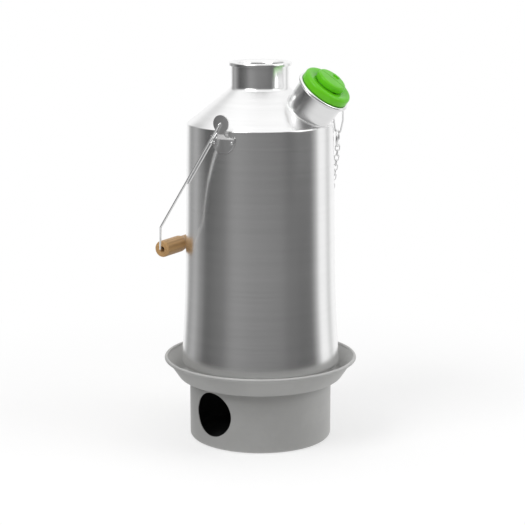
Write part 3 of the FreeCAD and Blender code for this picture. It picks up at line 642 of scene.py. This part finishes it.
def rivet_tree():
    """Domed rivet heads on points, each looking along its point's way."""
    tree, start, end, keys = node_tree("Rivet heads", [
        ("Radius", "NodeSocketFloat", 1.5 * MM), ("Height", "NodeSocketFloat", 0.8 * MM),
        ("Material", "NodeSocketMaterial", None)])
    ball = tree.nodes.new("GeometryNodeMeshUVSphere")
    ball.inputs["Segments"].default_value = 24
    ball.inputs["Rings"].default_value = 14
    tree.links.new(start.outputs["Radius"], ball.inputs["Radius"])
    flatten = tree.nodes.new("ShaderNodeCombineXYZ")
    flatten.inputs["X"].default_value = 1.0
    flatten.inputs["Y"].default_value = 1.0
    tree.links.new(math_node(tree, "DIVIDE", start.outputs["Height"], start.outputs["Radius"]),
                   flatten.inputs["Z"])
    copies = tree.nodes.new("GeometryNodeInstanceOnPoints")
    tree.links.new(start.outputs["Geometry"], copies.inputs["Points"])
    tree.links.new(ball.outputs["Mesh"], copies.inputs["Instance"])
    tree.links.new(turn_to(tree, named_way(tree, "along"), "Z"), copies.inputs["Rotation"])
    tree.links.new(flatten.outputs["Vector"], copies.inputs["Scale"])
    closed_tree(tree, end, copies.outputs["Instances"], start.outputs["Material"])
    return tree, keys


def bead_tree():
    """Round bead that follows a closed loop of edges and swells in ripples along it."""
    tree, start, end, keys = node_tree("Weld bead", [
        ("Radius", "NodeSocketFloat", 0.7 * MM), ("Ripple", "NodeSocketFloat", 0.08),
        ("Ripples", "NodeSocketFloat", 90.0), ("Material", "NodeSocketMaterial", None)])
    path = tree.nodes.new("GeometryNodeMeshToCurve")
    tree.links.new(start.outputs["Geometry"], path.inputs["Mesh"])
    along = tree.nodes.new("GeometryNodeSplineParameter").outputs["Factor"]
    ripples = math_node(tree, "MULTIPLY", along, start.outputs["Ripples"])
    turns = math_node(tree, "MULTIPLY", ripples, 2 * math.pi)
    swell = math_node(tree, "MULTIPLY_ADD", math_node(tree, "SINE", turns), start.outputs["Ripple"], 1.0)
    sized = tree.nodes.new("GeometryNodeSetCurveRadius")
    tree.links.new(path.outputs["Curve"], sized.inputs["Curve"])
    tree.links.new(swell, sized.inputs["Radius"])
    circle = tree.nodes.new("GeometryNodeCurvePrimitiveCircle")
    circle.inputs["Resolution"].default_value = 10
    tree.links.new(start.outputs["Radius"], circle.inputs["Radius"])
    sweep = tree.nodes.new("GeometryNodeCurveToMesh")
    tree.links.new(sized.outputs["Curve"], sweep.inputs["Curve"])
    tree.links.new(circle.outputs["Curve"], sweep.inputs["Profile Curve"])
    if "Scale" in sweep.inputs:
        tree.links.new(swell, sweep.inputs["Scale"])
    closed_tree(tree, end, sweep.outputs["Mesh"], start.outputs["Material"])
    return tree, keys


def grown(name, points, ways, tree, keys, values, material, closed=False):
    """Mesh that a geometry tree grows on points, or round a closed loop of them.

    Each of the ways becomes an attribute of the points.
    """
    seed = bpy.data.meshes.new(name + "_points")
    count = len(points)
    edges = [(index, (index + 1) % count) for index in range(count)] if closed else []
    seed.from_pydata(points, edges, [])
    for label, vectors in ways.items():
        layer = seed.attributes.new(label, "FLOAT_VECTOR", "POINT")
        layer.data.foreach_set("vector", [part for vector in vectors for part in vector])
    holder = bpy.data.objects.new(name + "_holder", seed)
    bpy.context.scene.collection.objects.link(holder)
    modifier = holder.modifiers.new("Grow", "NODES")
    modifier.node_group = tree
    for label, value in values.items():
        modifier[keys[label]] = value
    modifier[keys["Material"]] = material
    holder.update_tag()
    bpy.context.view_layer.update()
    graph = bpy.context.evaluated_depsgraph_get()
    mesh = bpy.data.meshes.new_from_object(holder.evaluated_get(graph))
    bpy.data.objects.remove(holder)
    return mesh


# Pieces

INWARD = -0.3         # faces that lean to the axis by more than this look at the fire
FOOT_SHARE = 0.6      # deeper than this share of the spout is its foot
FOOT_POINTS = 540     # points of the bead's path


def make_fire_base():
    """Pot and dish of the fire base, with painted shade on the pot's inner faces."""
    metal = material_named("Matte aluminium", base_metal)
    axis = (ORIGIN, UP)
    pot = dressed("fire_pot", metal, "fire_base", axis)
    dressed("fire_dish", metal, "fire_base", axis)
    # The pot's second material is the painted shade, put on faces inside it that look to the fire or up from
    # its floor
    pot.data.materials.append(material_named("Painted shade", painted_inside_shade))
    low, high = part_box("fire_pot")
    bore = (high.x - low.x) / 2 - 0.5 * MM
    for face in pot.data.polygons:
        out = Vector((face.center.x, face.center.y, 0))
        inward = face.normal.dot(out.normalized()) < INWARD
        floor = face.normal.z > 0.5 and face.center.z < (low.z + high.z) / 2
        if out.length < bore and (inward or floor):
            face.material_index = 1


def make_shell():
    """Outer wall, shoulder with neck, fire cone and chimney."""
    metal = material_named("Satin aluminium", body_metal)
    axis = (ORIGIN, UP)
    for node in ("body_wall", "shoulder", "chimney_tube"):
        dressed(node, metal, "kettle", axis)
    cone = dressed("firebox_cone", metal, "kettle", axis)
    # The cone's second material is the painted shade, put on faces that look in to the fire
    cone.data.materials.append(material_named("Painted shade", painted_inside_shade))
    for face in cone.data.polygons:
        out = Vector((face.center.x, face.center.y, 0)).normalized()
        if face.normal.dot(out) < INWARD:
            face.material_index = 1


def spout_foot(count):
    """Points round the spout's foot on the shoulder."""
    tube = frame["nodes"]["spout_tube"].data
    centre = lip_centre()
    side = Vector((0, 1, 0))
    cross = side.cross(SPOUT_WAY)
    depths = [(vertex.co - centre).dot(SPOUT_WAY) for vertex in tube.vertices]
    foot_depth = min(depths)
    near = [vertex.co for vertex, depth in zip(tube.vertices, depths) if depth < foot_depth * FOOT_SHARE]
    outer = max((place - centre - SPOUT_WAY * (place - centre).dot(SPOUT_WAY)).length for place in near)
    shoulder = frame["nodes"]["shoulder"].data
    tree = BVHTree.FromPolygons(
        [vertex.co for vertex in shoulder.vertices], [tuple(face.vertices) for face in shoulder.polygons])
    points = []
    for index in range(count):
        turn = 2 * math.pi * index / count
        out = side * math.cos(turn) + cross * math.sin(turn)
        hit = tree.ray_cast(centre + out * outer, -SPOUT_WAY)[0]
        if hit is None:
            raise RuntimeError("the spout's foot misses the shoulder")
        points.append(hit)
    return points


def make_spout():
    """Spout with its rolled lip, and the weld bead round its foot."""
    dressed("spout_tube", material_named("Spout aluminium", spout_metal), "kettle", (lip_centre(), SPOUT_WAY))
    weld = material_named("Weld bead", bead_metal)
    tree, keys = bead_tree()
    values = {"Radius": sizes().bead_radius, "Ripple": sizes().bead_ripple,
              "Ripples": float(sizes().bead_ripples)}
    mesh = grown("spout_bead", spout_foot(FOOT_POINTS), {}, tree, keys, values, weld, closed=True)
    bead = linked("spout_bead", mesh, weld)
    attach(bead, "kettle")


def make_stopper():
    """Green stopper with its whistle discs, eyelet, clip and split ring."""
    green = material_named("Green moulding", green_rubber)
    wire = material_named("Drawn steel wire", wire_metal)
    dressed("stopper_body", green, "stopper", (lip_centre(), SPOUT_WAY))
    for node in ("whistle_disc_lower", "whistle_disc_upper"):
        dressed(node, material_named("Satin aluminium", body_metal), "stopper")
    for node in ("stopper_eyelet", "stopper_clip", "split_ring"):
        dressed(node, wire, "stopper")


def chain_route():
    """Middle, way and flat side of each link, in order along the chain."""
    groups = islands(merged_mesh("chain_links"))
    middles = [sum(group, Vector()) / len(group) for group in groups]
    middles.sort(key=lambda place: math.atan2(place.y, place.x))
    last = len(middles) - 1
    along = []
    flat = []
    for index, place in enumerate(middles):
        way = (middles[min(index + 1, last)] - middles[max(index - 1, 0)]).normalized()
        out = Vector((place.x, place.y, 0))
        out = (out - way * out.dot(way)).normalized()
        along.append(way)
        flat.append(out if index % 2 == 0 else way.cross(out))
    return middles, along, flat


def make_chain():
    """Chain of wire links that runs from the kettle to the stopper, and its bracket."""
    middles, along, flat = chain_route()
    tree, keys = link_tree()
    wire = material_named("Drawn steel wire", wire_metal)
    values = {"Length": sizes().link_length, "Width": sizes().link_width, "Wire": sizes().link_wire}
    mesh = grown("chain", middles, {"along": along, "flat": flat}, tree, keys, values, wire)
    chain = linked("chain", mesh, wire)
    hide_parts("chain_links")
    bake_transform(chain)
    dressed("chain_bracket", material_named("Stamped steel", plate_metal), "kettle")


def make_ears():
    """Two stamped ears and the rivets that hold them and the chain's bracket."""
    plate = material_named("Stamped steel", plate_metal)
    for node in ("ear_front", "ear_back"):
        dressed(node, plate, "kettle")
    points = []
    ways = []
    for node in ("ear_rivets", "bracket_rivets"):
        for group in islands(merged_mesh(node)):
            middle = sum(group, Vector()) / len(group)
            way = Vector((middle.x, middle.y, 0)).normalized()
            top = max(place.dot(way) for place in group)
            points.append(middle + way * (top - middle.dot(way) - sizes().rivet_height))
            ways.append(way)
    tree, keys = rivet_tree()
    values = {"Radius": sizes().rivet_radius, "Height": sizes().rivet_height}
    mesh = grown("rivets", points, {"along": ways}, tree, keys, values, plate)
    rivets = linked("rivet_heads", mesh, plate)
    kept(rivets, "kettle", ["ear_rivets", "bracket_rivets"])


def make_bail():
    """Wire bail and its turned wooden grip."""
    dressed("bail_wire", material_named("Drawn steel wire", wire_metal), "bail")
    dressed("bail_grip", material_named("Turned beech", grip_wood), "grip", (GRIP_AT, GRIP_WAY))


# Stage

FLOOR_TONE = 0.62             # floor near the kettle, to the camera; it takes the shadow
FLOOR_GLOW = 0.46             # light added there, which lifts it to near white
FLOOR_WHITE_AT = (0.2, 0.55)  # metres from the middle over which it runs into white
FLOOR_BOUNCE = 0.8            # floor to all other rays
BELOW_AT = (-0.15, -0.75)     # slope of a ray from which metal sees the floor's tone
BELOW_TONE = 0.8
OVERHEAD_AT = (0.35, 0.8)     # slope of a ray from which metal sees the ceiling's tone
OVERHEAD_TONE = 1.08


def make_floor():
    """Wide pale floor: near the kettle it keeps the shadow, further out it runs into white."""
    half = stage().floor_size
    mesh = bpy.data.meshes.new("floor")
    corners = [(-half, -half, 0), (half, -half, 0), (half, half, 0), (-half, half, 0)]
    mesh.from_pydata(corners, [], [(0, 1, 2, 3)])
    material = bpy.data.materials.new("Pale floor")
    material.use_nodes = True
    tree = material.node_tree
    tree.nodes.clear()
    output = tree.nodes.new("ShaderNodeOutputMaterial")
    matte = tree.nodes.new("ShaderNodeBsdfDiffuse")
    matte.inputs["Color"].default_value = (FLOOR_TONE, FLOOR_TONE, FLOOR_TONE, 1)
    glow = tree.nodes.new("ShaderNodeEmission")
    glow.inputs["Strength"].default_value = FLOOR_GLOW
    near = tree.nodes.new("ShaderNodeAddShader")
    white = tree.nodes.new("ShaderNodeEmission")
    length = tree.nodes.new("ShaderNodeVectorMath")
    length.operation = "LENGTH"
    place = tree.nodes.new("ShaderNodeTexCoord")
    tree.links.new(place.outputs["Object"], length.inputs[0])
    reach = stepped(tree, length.outputs["Value"], *FLOOR_WHITE_AT)
    seen = tree.nodes.new("ShaderNodeMixShader")
    plain = tree.nodes.new("ShaderNodeBsdfDiffuse")
    plain.inputs["Color"].default_value = (FLOOR_BOUNCE, FLOOR_BOUNCE, FLOOR_BOUNCE, 1)
    path = tree.nodes.new("ShaderNodeLightPath")
    choice = tree.nodes.new("ShaderNodeMixShader")
    tree.links.new(matte.outputs["BSDF"], near.inputs[0])
    tree.links.new(glow.outputs["Emission"], near.inputs[1])
    tree.links.new(reach, seen.inputs["Fac"])
    tree.links.new(near.outputs["Shader"], seen.inputs[1])
    tree.links.new(white.outputs["Emission"], seen.inputs[2])
    tree.links.new(path.outputs["Is Camera Ray"], choice.inputs["Fac"])
    tree.links.new(plain.outputs["BSDF"], choice.inputs[1])
    tree.links.new(seen.outputs["Shader"], choice.inputs[2])
    tree.links.new(choice.outputs["Shader"], output.inputs["Surface"])
    floor = linked("floor", mesh, material)
    floor.visible_glossy = False


# Brightness of the studio by bearing from the camera, in degrees to its right,
# as the metal shows it: white behind the kettle, dim towards the camera, a soft
# lamp on each side.
STUDIO_BANDS = (
    (-180, 1.0), (-158, 1.0), (-136, 0.30), (-118, 0.42), (-104, 0.22), (-90, 0.08),
    (-62, 0.11), (-40, 0.21), (0, 0.18), (28, 0.16), (48, 0.10), (66, 0.06), (84, 0.07),
    (94, 0.34), (104, 1.0), (116, 1.0), (129, 0.62), (142, 1.0), (180, 1.0),
)


def make_sky():
    """Studio surround: white to the eye, banded in the metal, even on matte surfaces."""
    world = bpy.data.worlds.new("Studio")
    bpy.context.scene.world = world
    world.use_nodes = True
    tree = world.node_tree
    tree.nodes.clear()
    place = tree.nodes.new("ShaderNodeTexCoord")
    turn = tree.nodes.new("ShaderNodeMapping")
    turn.inputs["Rotation"].default_value = (0, 0, -stage().azimuth + math.pi / 2)
    tree.links.new(place.outputs["Generated"], turn.inputs["Vector"])
    parts = tree.nodes.new("ShaderNodeSeparateXYZ")
    tree.links.new(turn.outputs["Vector"], parts.inputs["Vector"])
    bearing = math_node(tree, "ARCTAN2", parts.outputs["Y"], parts.outputs["X"])
    share = math_node(tree, "MULTIPLY_ADD", bearing, 1 / (2 * math.pi), 0.5)
    ramp = tree.nodes.new("ShaderNodeValToRGB")
    ramp.color_ramp.interpolation = "EASE"
    stops = ramp.color_ramp.elements
    while len(stops) < len(STUDIO_BANDS):
        stops.new(0.5)
    for stop, (angle, value) in zip(stops, STUDIO_BANDS):
        stop.position = (angle + 180) / 360
        stop.color = (value, value, value, 1)
    tree.links.new(share, ramp.inputs["Fac"])
    overhead = stepped(tree, parts.outputs["Z"], *OVERHEAD_AT)
    below = stepped(tree, parts.outputs["Z"], *BELOW_AT)
    metal_view = mixed(tree, below, ramp.outputs["Color"], [BELOW_TONE] * 3)
    metal_view = mixed(tree, overhead, metal_view, [OVERHEAD_TONE] * 3)
    path = tree.nodes.new("ShaderNodeLightPath")
    dim = stage().sky_strength
    colour = mixed(tree, path.outputs["Is Glossy Ray"], (dim, dim, dim), metal_view)
    seen = math_node(tree, "MAXIMUM", path.outputs["Is Camera Ray"], path.outputs["Is Transmission Ray"])
    colour = mixed(tree, seen, colour, (1.0, 1.0, 1.0))
    surround = tree.nodes.new("ShaderNodeBackground")
    output = tree.nodes.new("ShaderNodeOutputWorld")
    tree.links.new(colour, surround.inputs["Color"])
    tree.links.new(surround.outputs["Background"], output.inputs["Surface"])


def make_lamp(name, place, target, size, power):
    """Square soft lamp that looks at a point."""
    data = bpy.data.lights.new(name, "AREA")
    data.size = size
    data.energy = power
    lamp = bpy.data.objects.new(name, data)
    lamp.location = place
    lamp.rotation_euler = (Vector(target) - Vector(place)).to_track_quat("-Z", "Y").to_euler()
    bpy.context.scene.collection.objects.link(lamp)


def camera_sides():
    """Ways to the camera's right and from the kettle back to the camera."""
    azimuth = stage().azimuth
    return (Vector((math.cos(azimuth), math.sin(azimuth), 0)),
            Vector((math.sin(azimuth), -math.cos(azimuth), 0)))


def make_camera():
    """Camera at the photograph's angle."""
    right, back = camera_sides()
    data = bpy.data.cameras.new("Camera")
    data.lens = stage().lens
    data.sensor_width = 36.0
    camera = bpy.data.objects.new("Camera", data)
    camera.location = back * stage().distance + right * stage().side_step + UP * stage().height
    camera.rotation_euler = (math.pi / 2 - stage().pitch, 0, stage().azimuth)
    bpy.context.scene.collection.objects.link(camera)
    bpy.context.scene.camera = camera


def make_stage():
    """Floor, surround, lamps and camera."""
    make_floor()
    make_sky()
    right, back = camera_sides()
    middle = (0, 0, 0.2)
    make_lamp("Key lamp", back * 0.9 - right * 0.9 + UP * 1.4, middle, 0.9, stage().key_power)
    make_lamp("Fill lamp", back * 0.4 + right * 1.3 + UP * 0.9, middle, 0.9, stage().key_power * 0.5)
    make_camera()
    bpy.context.scene.view_settings.view_transform = "Standard"


class KETTLE_OT_fire_base(bpy.types.Operator):
    """Make the fire pot and the drip dish"""
    bl_idname = "kettle.fire_base"
    bl_label = "Fire base"

    def execute(self, context):
        make_fire_base()
        return {"FINISHED"}


class KETTLE_OT_shell(bpy.types.Operator):
    """Make the kettle's wall, shoulder, fire cone and chimney"""
    bl_idname = "kettle.shell"
    bl_label = "Shell"

    def execute(self, context):
        make_shell()
        return {"FINISHED"}


class KETTLE_OT_spout(bpy.types.Operator):
    """Make the spout and its weld bead"""
    bl_idname = "kettle.spout"
    bl_label = "Spout"

    def execute(self, context):
        make_spout()
        return {"FINISHED"}


class KETTLE_OT_stopper(bpy.types.Operator):
    """Make the stopper with its wire rings"""
    bl_idname = "kettle.stopper"
    bl_label = "Stopper"

    def execute(self, context):
        make_stopper()
        return {"FINISHED"}


class KETTLE_OT_chain(bpy.types.Operator):
    """Make the chain and its bracket"""
    bl_idname = "kettle.chain"
    bl_label = "Chain"

    def execute(self, context):
        make_chain()
        return {"FINISHED"}


class KETTLE_OT_ears(bpy.types.Operator):
    """Make the ears and the rivets"""
    bl_idname = "kettle.ears"
    bl_label = "Ears and rivets"

    def execute(self, context):
        make_ears()
        return {"FINISHED"}


class KETTLE_OT_bail(bpy.types.Operator):
    """Make the bail and its grip"""
    bl_idname = "kettle.bail"
    bl_label = "Bail and grip"

    def execute(self, context):
        make_bail()
        return {"FINISHED"}


class KETTLE_OT_stage(bpy.types.Operator):
    """Make the floor, the lamps, the surround and the camera"""
    bl_idname = "kettle.stage"
    bl_label = "Stage"

    def execute(self, context):
        make_stage()
        return {"FINISHED"}


OPERATORS = (
    KETTLE_OT_stage, KETTLE_OT_fire_base, KETTLE_OT_shell, KETTLE_OT_spout,
    KETTLE_OT_stopper, KETTLE_OT_chain, KETTLE_OT_ears, KETTLE_OT_bail,
)


class KETTLE_PT_build(bpy.types.Panel):
    bl_label = "Storm kettle"
    bl_idname = "KETTLE_PT_build"
    bl_space_type = "VIEW_3D"
    bl_region_type = "UI"
    bl_category = "Kettle"

    def draw(self, context):
        layout = self.layout
        for operator in OPERATORS:
            layout.operator(operator.bl_idname)
        for group in (context.scene.kettle_sizes, context.scene.kettle_finish, context.scene.kettle_stage):
            box = layout.box()
            for name in group.bl_rna.properties.keys():
                if name not in {"rna_type", "name"}:
                    box.prop(group, name)


CLASSES = (KETTLE_PG_sizes, KETTLE_PG_finish, KETTLE_PG_stage) + OPERATORS + (KETTLE_PT_build,)


def register():
    for item in CLASSES:
        bpy.utils.register_class(item)
    bpy.types.Scene.kettle_sizes = PointerProperty(type=KETTLE_PG_sizes)
    bpy.types.Scene.kettle_finish = PointerProperty(type=KETTLE_PG_finish)
    bpy.types.Scene.kettle_stage = PointerProperty(type=KETTLE_PG_stage)


def unregister():
    del bpy.types.Scene.kettle_stage
    del bpy.types.Scene.kettle_finish
    del bpy.types.Scene.kettle_sizes
    for item in reversed(CLASSES):
        bpy.utils.unregister_class(item)


def main():
    """Makes the whole scene."""
    register()
    bpy.ops.kettle.stage()
    bpy.ops.kettle.fire_base()
    bpy.ops.kettle.shell()
    bpy.ops.kettle.spout()
    bpy.ops.kettle.stopper()
    bpy.ops.kettle.chain()
    bpy.ops.kettle.ears()
    bpy.ops.kettle.bail()


if __name__ == "__main__":
    main()
